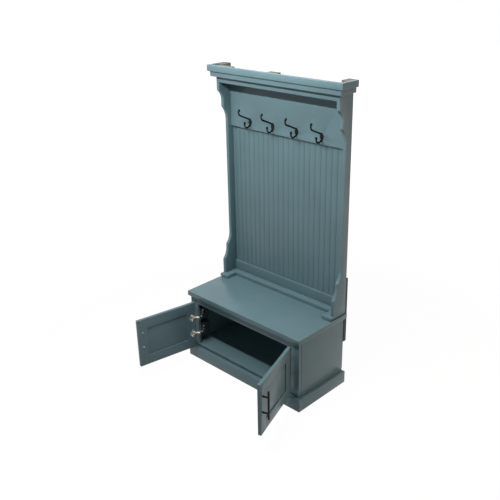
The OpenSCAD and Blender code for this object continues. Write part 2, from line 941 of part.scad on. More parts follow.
plinth_front();
plinth_side(-1);  // plinth_left
plinth_side(1);  // plinth_right
base_frame();
centre_rail();
floor_panel();
cabinet_side(-1);  // cabinet_side_left
cabinet_side(1);  // cabinet_side_right
cabinet_back();
face_stile(-1);  // face_stile_left
face_stile(1);  // face_stile_right
top_rail();
bench_top();
hinge_blocks();
hinge_plates();
hinge_arms();
hinge_plate_screws();
floor_bumpers();
door_hinge_stile(-1);  // left_door_hinge_stile
door_pull_stile(-1);  // left_door_pull_stile
door_rails(-1);  // left_door_rails
door_panel(-1);  // left_door_panel
hinge_cups(-1);  // left_hinge_cups
cup_screws(-1);  // left_cup_screws
hinge_links(-1);  // left_hinge_links
handle(-1);  // left_handle
handle_screws(-1);  // left_handle_screws
door_pad(-1);  // left_door_pad
door_hinge_stile(1);  // right_door_hinge_stile
door_pull_stile(1);  // right_door_pull_stile
door_rails(1);  // right_door_rails
door_panel(1);  // right_door_panel
hinge_cups(1);  // right_hinge_cups
cup_screws(1);  // right_cup_screws
hinge_links(1);  // right_hinge_links
handle(1);  // right_handle
handle_screws(1);  // right_handle_screws
door_pad(1);  // right_door_pad
hutch_base_plates();
hutch_base_strip();
hutch_side(-1);  // hutch_side_left
hutch_side(1);  // hutch_side_right
beaded_back();
hutch_foot_rail();
hook_board();
header_rail();
hutch_top_board();
crown_moulding_front();
crown_moulding_returns();
crown_fascia_front();
crown_fascia_returns();
crown_corner_blocks();
crown_glue_blocks();
hook(1);  // hook_1
hook(2);  // hook_2
hook(3);  // hook_3
hook(4);  // hook_4
hook_screws();
joining_cleats();
cleat_screws();
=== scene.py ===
"""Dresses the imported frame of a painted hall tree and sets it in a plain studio.

The hall tree is a bench cabinet with two open doors, a beaded hutch with coat hooks, and a stepped
crown. Lengths are in metres. X runs to the right, Y to the back and Z up, and the origin is on the
floor at the centre of the plinth. The boards take their sizes from the frame; fittings that the
frame holds in plain form are modelled anew in the same places.
"""

from __future__ import annotations

import json
import logging
import math
from collections.abc import Callable, Iterable
from dataclasses import dataclass, field
from enum import Enum
from typing import Any

import bmesh
import bpy
from mathutils import Matrix, Vector
from mathutils.bvhtree import BVHTree

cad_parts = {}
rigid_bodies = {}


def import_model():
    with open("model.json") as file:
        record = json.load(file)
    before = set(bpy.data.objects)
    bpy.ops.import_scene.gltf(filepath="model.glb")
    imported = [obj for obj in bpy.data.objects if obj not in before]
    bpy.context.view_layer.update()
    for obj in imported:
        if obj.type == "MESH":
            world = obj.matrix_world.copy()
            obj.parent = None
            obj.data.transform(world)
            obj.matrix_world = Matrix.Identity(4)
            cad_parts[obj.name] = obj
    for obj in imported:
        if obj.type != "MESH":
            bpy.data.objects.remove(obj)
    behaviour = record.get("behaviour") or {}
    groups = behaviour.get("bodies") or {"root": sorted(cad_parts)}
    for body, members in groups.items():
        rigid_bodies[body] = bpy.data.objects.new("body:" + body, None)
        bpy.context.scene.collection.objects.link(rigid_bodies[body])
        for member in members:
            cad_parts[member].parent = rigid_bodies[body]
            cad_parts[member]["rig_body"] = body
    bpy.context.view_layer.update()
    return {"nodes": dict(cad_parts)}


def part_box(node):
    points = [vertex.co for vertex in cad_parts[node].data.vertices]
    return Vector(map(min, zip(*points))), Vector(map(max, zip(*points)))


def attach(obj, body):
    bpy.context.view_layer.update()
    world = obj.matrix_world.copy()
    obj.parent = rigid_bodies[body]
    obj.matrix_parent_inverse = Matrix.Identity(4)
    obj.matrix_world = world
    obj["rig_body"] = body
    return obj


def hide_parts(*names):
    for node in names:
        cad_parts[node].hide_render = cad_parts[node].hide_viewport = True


# Short names for Blender's types
Piece = bpy.types.Object
Tree = bpy.types.NodeTree
Node = bpy.types.Node
Socket = bpy.types.NodeSocket
Material = bpy.types.Material

LOG = logging.getLogger("hall_tree")
MM = 0.001
# Places that differ by less than this are level with each other
LEVEL = 0.1 * MM
# Turns that make the top of an upright shape face the front or the back
TO_FRONT = Matrix.Rotation(math.pi / 2, 4, "X")
TO_BACK = Matrix.Rotation(-math.pi / 2, 4, "X")


class Side(Enum):
    """The two sides of the hall tree, with the sign of their X."""

    LEFT = -1
    RIGHT = 1


class Body(Enum):
    """The frame's rigid bodies."""

    CABINET = "cabinet"
    LEFT_DOOR = "left_door"
    RIGHT_DOOR = "right_door"
    LEFT_LINKS = "left_links"
    RIGHT_LINKS = "right_links"


# Colours and shader nodes


def linear(code: str) -> tuple[float, float, float, float]:
    """Turns an sRGB colour into the linear one that shaders take.

    Args:
        code: The colour as "#rrggbb".

    Returns:
        Linear red, green, blue and an alpha of 1.
    """
    parts = [int(code[i:i + 2], 16) / 255 for i in (1, 3, 5)]
    curved = [p / 12.92 if p <= 0.04045 else ((p + 0.055) / 1.055) ** 2.4 for p in parts]
    return (*curved, 1.0)


def set_inputs(tree: Tree, node: Node, inputs: dict[Any, Any]) -> None:
    """Sets or links inputs of a node.

    Args:
        tree: The node tree that holds it.
        node: The node.
        inputs: Values or output sockets by input name or number.
    """
    for name, value in inputs.items():
        if isinstance(value, Socket):
            tree.links.new(value, node.inputs[name])
        else:
            node.inputs[name].default_value = value


def add_node(tree: Tree, kind: str, inputs: dict[Any, Any] | None = None, **settings: Any) -> Node:
    """Adds one shader node with its settings, values and links.

    Args:
        tree: The node tree to add to.
        kind: The node's type name.
        inputs: Values or output sockets by input name or number.
        **settings: Properties of the node itself.

    Returns:
        The new node.
    """
    node = tree.nodes.new(kind)
    for name, value in settings.items():
        setattr(node, name, value)
    set_inputs(tree, node, inputs or {})
    return node


def blank_material(name: str) -> tuple[Material, Tree, Node]:
    """Makes a material that holds only a shader and its output.

    Args:
        name: The material's name.

    Returns:
        The material, its node tree and its principled shader.
    """
    material = bpy.data.materials.new(name)
    material.use_nodes = True
    tree = material.node_tree
    return material, tree, tree.nodes["Principled BSDF"]


def spread(tree: Tree, feature: float, stretch: Iterable[float] = (1, 1, 1),
           detail: float = 3.0) -> Socket:
    """A noise over Object coordinates whose spots have a real size.

    Args:
        tree: The node tree to add to.
        feature: Size of a spot, in metres.
        stretch: How many times longer a spot is along X, Y and Z.
        detail: Octaves of finer noise.

    Returns:
        The noise, from 0 to 1.
    """
    place = add_node(tree, "ShaderNodeTexCoord").outputs["Object"]
    squeeze = tuple(1 / (feature * s) for s in stretch)
    scaled = add_node(tree, "ShaderNodeMapping", {"Vector": place, "Scale": squeeze})
    return add_node(tree, "ShaderNodeTexNoise", {"Vector": scaled.outputs[0], "Scale": 1.0,
                                                 "Detail": detail}).outputs[0]


def between(tree: Tree, factor: Socket, low: float, high: float, start: float = 0.3,
            end: float = 0.7) -> Socket:
    """Maps a range of a factor to a pair of values, and keeps to them outside it.

    Args:
        tree: The node tree to add to.
        factor: The factor, such as a noise, which mostly lies from 0.3 to 0.7.
        low: The value at the start.
        high: The value at the end.
        start: Where the range starts.
        end: Where it ends.

    Returns:
        The mapped value.
    """
    return add_node(tree, "ShaderNodeMapRange", {
        "Value": factor, "From Min": start, "From Max": end, "To Min": low,
        "To Max": high}).outputs[0]


def mixed(tree: Tree, factor: Socket, low: str, high: str) -> Socket:
    """Mixes two sRGB colours by a factor.

    Args:
        tree: The node tree to add to.
        factor: The share of the second colour.
        low: The first colour, as "#rrggbb".
        high: The second colour.

    Returns:
        The mixed colour.
    """
    return add_node(tree, "ShaderNodeMix", {0: factor, 6: linear(low), 7: linear(high)},
                    data_type="RGBA").outputs[2]


def bump(tree: Tree, pattern: Socket, height: float) -> Socket:
    """Raises a surface by a pattern.

    Args:
        tree: The node tree to add to.
        pattern: The pattern, from 0 to 1.
        height: How far it rises.

    Returns:
        The surface's normal.
    """
    return add_node(tree, "ShaderNodeBump", {"Strength": 1.0, "Distance": height,
                                             "Height": pattern}).outputs[0]


# Finishes


@dataclass(frozen=True)
class SatinLacquer:
    """Sprayed satin lacquer over planed boards.

    Sprayed paint lies in a smooth film with a faint orange peel, so the eye sees one even colour
    with a soft, slightly uneven sheen.

    Attributes:
        name: The material's name.
        color: Its main colour.
        deep: The colour of its slightly darker clouds.
        roughness: The sheen's roughness, from its shiniest to its dullest.
        cloud: Size of the clouds of colour.
        peel: Size of the orange peel, drawn at 5 mm so that it shows. Real peel is about 2 mm.
        peel_height: Height of the orange peel.
        specular: Strength of its reflections, where bare varnish would have 0.5.
    """

    name: str = "satin_lacquer"
    color: str = "#678289"
    deep: str = "#627d83"
    roughness: tuple[float, float] = (0.285, 0.35)
    cloud: float = 160 * MM
    peel: float = 5 * MM
    peel_height: float = 0.01 * MM
    specular: float = 0.25

    def material(self) -> Material:
        """Builds the material.

        Returns:
            The material.
        """
        material, tree, shader = blank_material(self.name)
        clouds = between(tree, spread(tree, self.cloud), 0.0, 1.0)
        sheen = spread(tree, self.cloud / 4, detail=2.0)
        set_inputs(tree, shader, {
            "Base Color": mixed(tree, clouds, self.color, self.deep),
            "Roughness": between(tree, sheen, *self.roughness),
            "Normal": bump(tree, spread(tree, self.peel, detail=1.0), self.peel_height),
            "IOR": 1.5, "Specular IOR Level": self.specular})
        return material


@dataclass(frozen=True)
class RawPine:
    """Unfinished sawn timber in dull brown, with long grain and a dry surface.

    Attributes:
        name: The material's name.
        light: Colour between the grain lines.
        dark: Colour of the grain lines.
        stretch: How many times longer the grain is along X, Y and Z.
        grain: Width of a grain line, drawn at 3 mm so that it shows. Real lines are under 1 mm.
        cloud: Width of the darker and lighter bands of grain.
        tones: Depths of grain at which the light colour starts to darken and the dark one is whole.
        fibre: Height of the sawn fibres.
        roughness: Roughness of the sawn face.
    """

    name: str
    light: str
    dark: str
    stretch: tuple[float, float, float]
    grain: float = 3 * MM
    cloud: float = 36 * MM
    tones: tuple[float, float] = (0.12, 0.4)
    fibre: float = 0.12 * MM
    roughness: float = 0.72

    def material(self) -> Material:
        """Builds the material.

        Returns:
            The material.
        """
        material, tree, shader = blank_material(self.name)
        lines = spread(tree, self.grain, self.stretch, detail=4.0)
        clouds = spread(tree, self.cloud, self.stretch)
        both = add_node(tree, "ShaderNodeMath", {0: lines, 1: clouds}, operation="MULTIPLY")
        tone = between(tree, both.outputs[0], 0.0, 1.0, *self.tones)
        set_inputs(tree, shader, {
            "Base Color": mixed(tree, tone, self.light, self.dark),
            "Roughness": self.roughness, "Normal": bump(tree, lines, self.fibre)})
        return material


@dataclass(frozen=True)
class PlatedMetal:
    """Stamped or turned steel with a plated finish, such as nickel, zinc or bronze.

    Plating follows the pressed sheet under it, so its shine breaks up into soft patches.

    Attributes:
        name: The material's name.
        color: Colour of its reflections.
        roughness: Its roughness, from its brightest to its dullest patches.
        patch: Size of the patches.
        dent: Depth of the pressed sheet's unevenness.
    """

    name: str
    color: str
    roughness: tuple[float, float]
    patch: float = 4 * MM
    dent: float = 0.02 * MM

    def material(self) -> Material:
        """Builds the material.

        Returns:
            The material.
        """
        material, tree, shader = blank_material(self.name)
        patches = spread(tree, self.patch, detail=2.0)
        set_inputs(tree, shader, {
            "Base Color": linear(self.color), "Metallic": 1.0,
            "Roughness": between(tree, patches, *self.roughness),
            "Normal": bump(tree, patches, self.dent)})
        return material


@dataclass(frozen=True)
class PowderCoat:
    """Baked powder coat on cast or turned iron: black, satin and very finely pebbled.

    Attributes:
        name: The material's name.
        color: Its main colour.
        worn: The slightly lighter colour of its patches.
        pebble: Size of the pebbles, drawn at 1 mm so that they show. Real ones are about 0.3 mm.
        pebble_height: Height of the pebbles.
        patch: Size of the patches of colour and sheen.
        roughness: The coat's roughness, from its shiniest to its dullest.
        specular: Strength of its reflections, where bare varnish would have 0.5.
    """

    name: str = "black_powder_coat"
    color: str = "#060708"
    worn: str = "#0e0f11"
    pebble: float = 1 * MM
    pebble_height: float = 0.06 * MM
    patch: float = 14 * MM
    roughness: tuple[float, float] = (0.3, 0.42)
    specular: float = 0.15

    def material(self) -> Material:
        """Builds the material.

        Returns:
            The material.
        """
        material, tree, shader = blank_material(self.name)
        patches = spread(tree, self.patch)
        set_inputs(tree, shader, {
            "Base Color": mixed(tree, patches, self.color, self.worn),
            "Roughness": between(tree, patches, *self.roughness),
            "Normal": bump(tree, spread(tree, self.pebble, detail=1.0), self.pebble_height),
            "IOR": 1.5, "Specular IOR Level": self.specular})
        return material


@dataclass(frozen=True)
class PadRubber:
    """Moulded black rubber: dull and a little dusty.

    Attributes:
        name: The material's name.
        color: Its main colour.
        dusty: The colour of its dusty patches.
        patch: Size of those patches.
        roughness: Its roughness, from clean to dusty.
    """

    name: str = "pad_rubber"
    color: str = "#101213"
    dusty: str = "#1b1e20"
    patch: float = 2 * MM
    roughness: tuple[float, float] = (0.55, 0.75)

    def material(self) -> Material:
        """Builds the material.

        Returns:
            The material.
        """
        material, tree, shader = blank_material(self.name)
        dust = spread(tree, self.patch, detail=2.0)
        set_inputs(tree, shader, {
            "Base Color": mixed(tree, dust, self.color, self.dusty),
            "Roughness": between(tree, dust, *self.roughness)})
        return material


class Finishes:
    """All finishes of the hall tree, by the record's material slot."""

    def __init__(self) -> None:
        """Builds each material once."""
        upright = (1, 1, 14)
        lying = (14, 1, 1)
        self.by_slot = {
            "paint": SatinLacquer().material(),
            "raw_wood": RawPine("raw_pine", "#6f5f4d", "#4a3d31", upright).material(),
            # Near-black pine is painted shade on the hinge blocks, which sit in shade behind the
            # stiles; on the rear cleats it is partly their own dark colour and partly painted
            # shade.
            "dark_wood": RawPine("black_stained_pine", "#2b3335", "#1d2426", upright).material(),
            "hinge_steel": PlatedMetal("nickel_plate", "#d8d4ca", (0.16, 0.3)).material(),
            "black_iron": PowderCoat().material(),
            "screw_steel": PlatedMetal("zinc_plate", "#b4b6b8", (0.35, 0.5)).material(),
            "bronze_screw": PlatedMetal("brown_bronze_plate", "#54382a", (0.4, 0.55)).material(),
            "rubber": PadRubber().material(),
        }
        self.lying_wood = RawPine("raw_pine_lying", "#6e6964", "#4b4642", lying).material()

    def dress(self, piece: Piece, body: Body, slot: str, *nodes: str,
              material: Material | None = None) -> None:
        """Gives a finished piece its material, its body and the nodes that it stands for.

        Args:
            piece: The finished object.
            body: The body that it moves with.
            slot: The record's material slot.
            *nodes: The frame's nodes that it replaces.
            material: Its material, where that isn't the slot's usual one.
        """
        piece.data.materials.clear()
        piece.data.materials.append(material or self.by_slot[slot])
        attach(piece, body.value)
        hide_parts(*nodes)
        LOG.info("%s: %d faces, on %s, for %s", piece.name, len(piece.data.polygons), body.value,
                 ", ".join(nodes))


# Work on meshes


def activate(piece: Piece) -> None:
    """Selects one object alone and makes it active.

    Args:
        piece: The object.
    """
    if bpy.context.object and bpy.context.object.mode != "OBJECT":
        bpy.ops.object.mode_set(mode="OBJECT")
    bpy.ops.object.select_all(action="DESELECT")
    piece.select_set(True)
    bpy.context.view_layer.objects.active = piece


def apply_modifier(piece: Piece, kind: str, **settings: Any) -> None:
    """Adds a modifier to an object and applies it.

    Args:
        piece: The object.
        kind: The modifier's type.
        **settings: The modifier's properties.
    """
    activate(piece)
    modifier = piece.modifiers.new(kind.title(), kind)
    for name, value in settings.items():
        setattr(modifier, name, value)
    bpy.ops.object.modifier_apply(modifier=modifier.name)


def pick(piece: Piece, edges: Callable[[Vector, Vector], bool] | None = None,
         faces: Callable[[Vector], bool] | None = None) -> None:
    """Selects edges or faces of the mesh in edit mode by their place.

    Args:
        piece: The object, in edit mode.
        edges: Given an edge's two ends, says whether it is selected.
        faces: Given a face's centre, says whether it is selected.
    """
    bpy.ops.mesh.select_all(action="DESELECT")
    bpy.ops.mesh.select_mode(type="EDGE" if edges else "FACE")
    mesh = bmesh.from_edit_mesh(piece.data)
    if edges:
        for edge in mesh.edges:
            edge.select_set(edges(edge.verts[0].co, edge.verts[1].co))
    else:
        for face in mesh.faces:
            face.select_set(faces(face.calc_center_median()))
    mesh.select_flush_mode()
    bmesh.update_edit_mesh(piece.data)


def added(name: str, data: Any) -> Piece:
    """Adds an object to the scene.

    Args:
        name: The object's name.
        data: Its mesh, curve, lens or lamp.

    Returns:
        The object.
    """
    piece = bpy.data.objects.new(name, data)
    bpy.context.scene.collection.objects.link(piece)
    return piece


def copy_of(piece: Piece, name: str, place: Matrix) -> Piece:
    """Copies an object, its mesh too, and bakes a placement into the copy.

    Args:
        piece: The object to copy, which sits at the origin.
        name: Name of the copy.
        place: Where the copy goes.

    Returns:
        The copy, at the origin with its place in its mesh.
    """
    twin = added(name, piece.data.copy())
    twin.data.transform(place)
    return twin


def joined(pieces: list[Piece], name: str) -> Piece:
    """Joins objects into one.

    Args:
        pieces: The objects, which sit at the origin.
        name: Name of the result.

    Returns:
        The joined object.
    """
    activate(pieces[0])
    for piece in pieces[1:]:
        piece.select_set(True)
    if len(pieces) > 1:
        bpy.ops.object.join()
    pieces[0].name = name
    return pieces[0]


def smooth(piece: Piece, degrees: float = 35.0) -> None:
    """Shades an object smooth, apart from its sharp edges.

    Args:
        piece: The object.
        degrees: The turn between two faces above which their edge stays sharp.
    """
    activate(piece)
    bpy.ops.object.shade_smooth_by_angle(angle=math.radians(degrees))


def primitive(kind: str, name: str, scale: Iterable[float] = (1, 1, 1), **settings: Any) -> Piece:
    """Adds the primitive that a piece starts from.

    Args:
        kind: The primitive, as Blender names it.
        name: Name of the object.
        scale: Its scale along X, Y and Z.
        **settings: Its sizes and place.

    Returns:
        The object, at the origin with its place, turn and scale in its mesh.
    """
    getattr(bpy.ops.mesh, f"primitive_{kind}_add")(**settings)
    piece = bpy.context.object
    piece.name = name
    piece.scale = scale
    bpy.ops.object.transform_apply(location=True, rotation=True, scale=True)
    return piece


def round_edges(piece: Piece, chosen: Callable[[Vector, Vector], bool], offset: float,
                segments: int) -> None:
    """Bevels some edges of a piece.

    Args:
        piece: The object, which is active.
        chosen: Given an edge's two ends, says whether it is bevelled.
        offset: Width of the bevel.
        segments: Segments across it.
    """
    bpy.ops.object.mode_set(mode="EDIT")
    pick(piece, edges=chosen)
    bpy.ops.mesh.bevel(offset=offset, segments=segments)
    bpy.ops.object.mode_set(mode="OBJECT")


def rounded_rod(name: str, radius: float, length: float, ease: float, segments: int = 3,
                **settings: Any) -> Piece:
    """Models an upright rod with rounded ends.

    Args:
        name: The object's name.
        radius: Its radius.
        length: Its length.
        ease: Rounding of its ends.
        segments: Segments across that rounding.
        **settings: Its place and its number of sides.

    Returns:
        The rod.
    """
    rod = primitive("cylinder", name, radius=radius, depth=length, **settings)
    round_edges(rod, lambda a, b: abs(a.z - b.z) < LEVEL, ease, segments)
    return rod


@dataclass
class Joinery:
    """Rounds the edges of the boards that the frame holds with sharp ones.

    Attributes:
        nodes: The frame's nodes by name.
        finishes: The finishes.
        touching: How near another board makes an edge a joint.
        joint: Rounding where two boards meet, which leaves a hairline.
        bend: Edges that turn by less than this stay as they are, in degrees.
        merge: Points nearer than this become one.
        flat: Faces that turn by less than this become one, in degrees.
        trees: The search trees that are built so far, by node.
    """

    nodes: dict[str, Piece]
    finishes: Finishes
    touching: float = 0.5 * MM
    joint: float = 0.3 * MM
    bend: float = 30.0
    merge: float = 0.005 * MM
    flat: float = 0.5
    trees: dict[str, BVHTree] = field(default_factory=dict)

    def tree(self, name: str) -> BVHTree:
        """The search tree of a node's mesh, which is built once.

        Args:
            name: The node.

        Returns:
            Its search tree.
        """
        if name not in self.trees:
            mesh = self.nodes[name].data
            points = [v.co for v in mesh.vertices]
            faces = [tuple(p.vertices) for p in mesh.polygons]
            self.trees[name] = BVHTree.FromPolygons(points, faces)
        return self.trees[name]

    def meets(self, name: str, point: Vector) -> bool:
        """Says whether a point of one board lies on another board.

        Args:
            name: The board's node.
            point: A point on one of its edges.

        Returns:
            True where another node of the same body is near.
        """
        body = self.nodes[name]["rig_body"]
        return any(self.tree(other).find_nearest(point, self.touching)[0] is not None
                   for other, node in self.nodes.items()
                   if other != name and node["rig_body"] == body)

    def ease(self, name: str, radius: float, rings: int = 3) -> Piece:
        """Copies a board and rounds its edges, less so at its joints.

        Args:
            name: The board's node.
            radius: Rounding of its free edges.
            rings: Segments across a rounding.

        Returns:
            The eased board.
        """
        piece = added(f"{name}_board", self.nodes[name].data.copy())
        activate(piece)
        bpy.ops.object.mode_set(mode="EDIT")
        bpy.ops.mesh.select_all(action="SELECT")
        bpy.ops.mesh.remove_doubles(threshold=self.merge)
        bpy.ops.mesh.dissolve_limited(angle_limit=math.radians(self.flat))
        self.weigh_edges(piece, name, radius)
        bpy.ops.object.mode_set(mode="OBJECT")
        apply_modifier(piece, "BEVEL", limit_method="WEIGHT", width=radius, segments=rings)
        smooth(piece)
        return piece

    def weigh_edges(self, piece: Piece, name: str, radius: float) -> None:
        """Marks each sharp edge with the share of the rounding that it takes.

        Args:
            piece: The copy, in edit mode.
            name: The node that it was copied from.
            radius: Rounding of a free edge.
        """
        mesh = bmesh.from_edit_mesh(piece.data)
        weight = mesh.edges.layers.float.new("bevel_weight_edge")
        for edge in mesh.edges:
            if len(edge.link_faces) != 2 or edge.calc_face_angle(0.0) < math.radians(self.bend):
                continue
            middle = (edge.verts[0].co + edge.verts[1].co) / 2
            edge[weight] = self.joint / radius if self.meets(name, middle) else 1.0
        bmesh.update_edit_mesh(piece.data)

    def board(self, name: str, radius: float, body: Body, slot: str, rings: int = 3,
              material: Material | None = None) -> None:
        """Eases a board's free edges by a radius, and dresses it in place of its node."""
        self.finishes.dress(self.ease(name, radius, rings), body, slot, name, material=material)


@dataclass(frozen=True)
class Screw:
    """A pan-head wood screw with a cross recess, of which only the head shows.

    Attributes:
        radius: Radius of the head.
        height: Height of the head.
        shank: Radius of the shank.
        length: Length of the shank.
        slot_width: Width of the recess.
        slot_depth: Depth of the recess.
        slot_reach: Length of the recess, as a share of the head's radius.
        dome: Share of the head's height that is rounded.
    """

    radius: float
    height: float
    shank: float
    length: float
    slot_width: float = 0.9 * MM
    slot_depth: float = 1.0 * MM
    slot_reach: float = 1.2
    dome: float = 0.55

    @classmethod
    def small(cls, length: float) -> "Screw":
        """A small screw with a shank of some length, as hooks and hinges have."""
        return cls(radius=3.4 * MM, height=1.6 * MM, shank=1.7 * MM, length=length)

    def build(self, name: str) -> Piece:
        """Models one screw at the origin, its head towards +Z.

        Args:
            name: The object's name.

        Returns:
            The screw.
        """
        head = primitive("cylinder", name, vertices=32, radius=self.radius, depth=self.height,
                         location=(0, 0, self.height / 2))
        round_edges(head, lambda a, b: min(a.z, b.z) > self.height - LEVEL, self.height * self.dome,
                    segments=4)
        bpy.ops.object.mode_set(mode="EDIT")
        pick(head, faces=lambda centre: centre.z < LEVEL)
        bpy.ops.mesh.inset(thickness=self.radius - self.shank)
        bpy.ops.mesh.extrude_region_move(TRANSFORM_OT_translate={"value": (0, 0, -self.length)})
        bpy.ops.object.mode_set(mode="OBJECT")
        for turn in (0, math.pi / 2):
            size = (self.radius * self.slot_reach, self.slot_width, self.slot_depth * 2)
            cutter = primitive("cube", "cutter", size, size=1, location=(0, 0, self.height),
                               rotation=(0, 0, turn))
            apply_modifier(head, "BOOLEAN", object=cutter, operation="DIFFERENCE", solver="EXACT")
            bpy.data.objects.remove(cutter)
        smooth(head)
        return head

    def spots(self, name: str, places: list[Matrix]) -> Piece:
        """Models a set of screws as one piece.

        Args:
            name: The piece's name.
            places: Where each head sits, its +Z out of the wood.

        Returns:
            The set.
        """
        master = self.build(f"{name}_master")
        copies = [copy_of(master, f"{name}_{i}", place) for i, place in enumerate(places)]
        bpy.data.objects.remove(master)
        return joined(copies, name)


# The hall tree's own parts


@dataclass
class Boards:
    """The plain boards of the cabinet, hutch and crown, eased by how they are handled.

    Attributes:
        joinery: Rounds and dresses the boards.
        radii: Rounding of the painted boards' free edges, by node.
        painted_shade_boards: Rounding of the free edges of the boards whose near-black colour is
            painted shade, by node.
        crown_blocks: Rounding of the raw blocks in the crown, by node.
        raw_rails: Rounding of the raw rail under the floor, by node.
    """

    joinery: Joinery
    radii: dict[str, float] = field(default_factory=lambda: {
        "plinth_front": 3.0 * MM, "plinth_left": 3.0 * MM, "plinth_right": 3.0 * MM,
        "base_frame": 0.6 * MM, "floor_panel": 1.2 * MM,
        "cabinet_side_left": 1.0 * MM, "cabinet_side_right": 1.0 * MM, "cabinet_back": 0.6 * MM,
        "face_stile_left": 1.5 * MM, "face_stile_right": 1.5 * MM, "top_rail": 1.5 * MM,
        "bench_top": 3.5 * MM,
        "hutch_base_plates": 2.0 * MM, "hutch_base_strip": 2.0 * MM,
        "hutch_side_left": 2.0 * MM, "hutch_side_right": 2.0 * MM,
        "hutch_foot_rail": 1.5 * MM, "hook_board": 1.5 * MM, "header_rail": 1.5 * MM,
        "hutch_top_board": 0.8 * MM,
        "crown_moulding_front": 2.0 * MM, "crown_moulding_returns": 2.0 * MM,
        "crown_fascia_front": 2.5 * MM, "crown_fascia_returns": 2.5 * MM,
    })
    # The hinge blocks and rear cleats: their near-black colour is painted shade, partly the cleats'
    # own dark colour
    painted_shade_boards: dict[str, float] = field(default_factory=lambda: {
        "hinge_blocks": 0.8 * MM, "joining_cleats": 1.5 * MM,
    })
    crown_blocks: dict[str, float] = field(default_factory=lambda: {
        "crown_corner_blocks": 1.2 * MM, "crown_glue_blocks": 1.0 * MM,
    })
    raw_rails: dict[str, float] = field(default_factory=lambda: {"centre_rail": 0.5 * MM})

    def build(self) -> None:
        """Models and dresses every board."""
        lying_wood = self.joinery.finishes.lying_wood
        for radii, slot, material in ((self.radii, "paint", None),
                                      (self.painted_shade_boards, "dark_wood", None),
                                      (self.crown_blocks, "raw_wood", lying_wood),
                                      (self.raw_rails, "raw_wood", None)):
            for name, radius in radii.items():
                self.joinery.board(name, radius, Body.CABINET, slot, material=material)


@dataclass
class BeadedBack:
    """The hutch's back: flat strips with a round bead between two narrow grooves.

    Attributes:
        finishes: The finishes.
        pitch: Distance between the beads.
        bead: Radius of a bead.
        groove: Width of the groove on each side of a bead.
        relief: Depth of the strips in front of the backing sheet.
        ease: Rounding of the strips' long edges.
        bead_ease: Rounding of the beads' ends.
        set_back: How far the beads lie behind the strips' faces.
        inner: Half the width that shows between the side boards.
    """

    finishes: Finishes
    pitch: float = 40.5 * MM
    bead: float = 2.0 * MM
    groove: float = 0.6 * MM
    relief: float = 1.3 * MM
    ease: float = 0.5 * MM
    bead_ease: float = 0.3 * MM
    set_back: float = 0.2 * MM
    inner: float = 445 * MM

    def slab(self, name: str, left: float, right: float, front: float, back: float) -> Piece:
        """A board as high as the whole back, with its front long edges eased.

        Args:
            name: The object's name.
            left: Its left edge.
            right: Its right edge.
            front: Its front face.
            back: Its back face.

        Returns:
            The slab.
        """
        foot, head = (corner.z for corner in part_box("beaded_back"))
        low, high = Vector((left, front, foot)), Vector((right, back, head))
        slab = primitive("cube", name, high - low, size=1, location=(low + high) / 2)
        round_edges(slab, lambda a, b: max(a.y, b.y) < low.y + LEVEL and abs(a.x - b.x) < LEVEL,
                    self.ease, segments=2)
        return slab

    def build(self) -> None:
        """Models and dresses the back."""
        low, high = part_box("beaded_back")
        front, sheet = low.y, low.y + self.relief
        backing = self.slab("backing", low.x, high.x, sheet, high.y)
        half_gap = self.bead + self.groove
        count = int(self.inner / self.pitch + 0.5)
        beads = [(i + 0.5) * self.pitch for i in range(-count, count)]
        middle = (beads[0], front + self.bead + self.set_back, (low.z + high.z) / 2)
        first = rounded_rod("bead", self.bead, high.z - low.z, self.bead_ease, segments=1,
                            vertices=20, location=middle)
        strip = self.slab("strip", beads[0] + half_gap, beads[1] - half_gap, front, sheet)
        pieces = [backing, first, strip]
        for i, x in enumerate(beads[1:]):
            shift = Matrix.Translation((x - beads[0], 0, 0))
            pieces.append(copy_of(first, f"bead_{i}", shift))
            if i < len(beads) - 2:
                pieces.append(copy_of(strip, f"strip_{i}", shift))
        pieces.append(self.slab("left_end", low.x, beads[0] - half_gap, front, sheet))
        pieces.append(self.slab("right_end", beads[-1] + half_gap, high.x, front, sheet))
        back = joined(pieces, "beaded_panel")
        smooth(back)
        self.finishes.dress(back, Body.CABINET, "paint", "beaded_back")


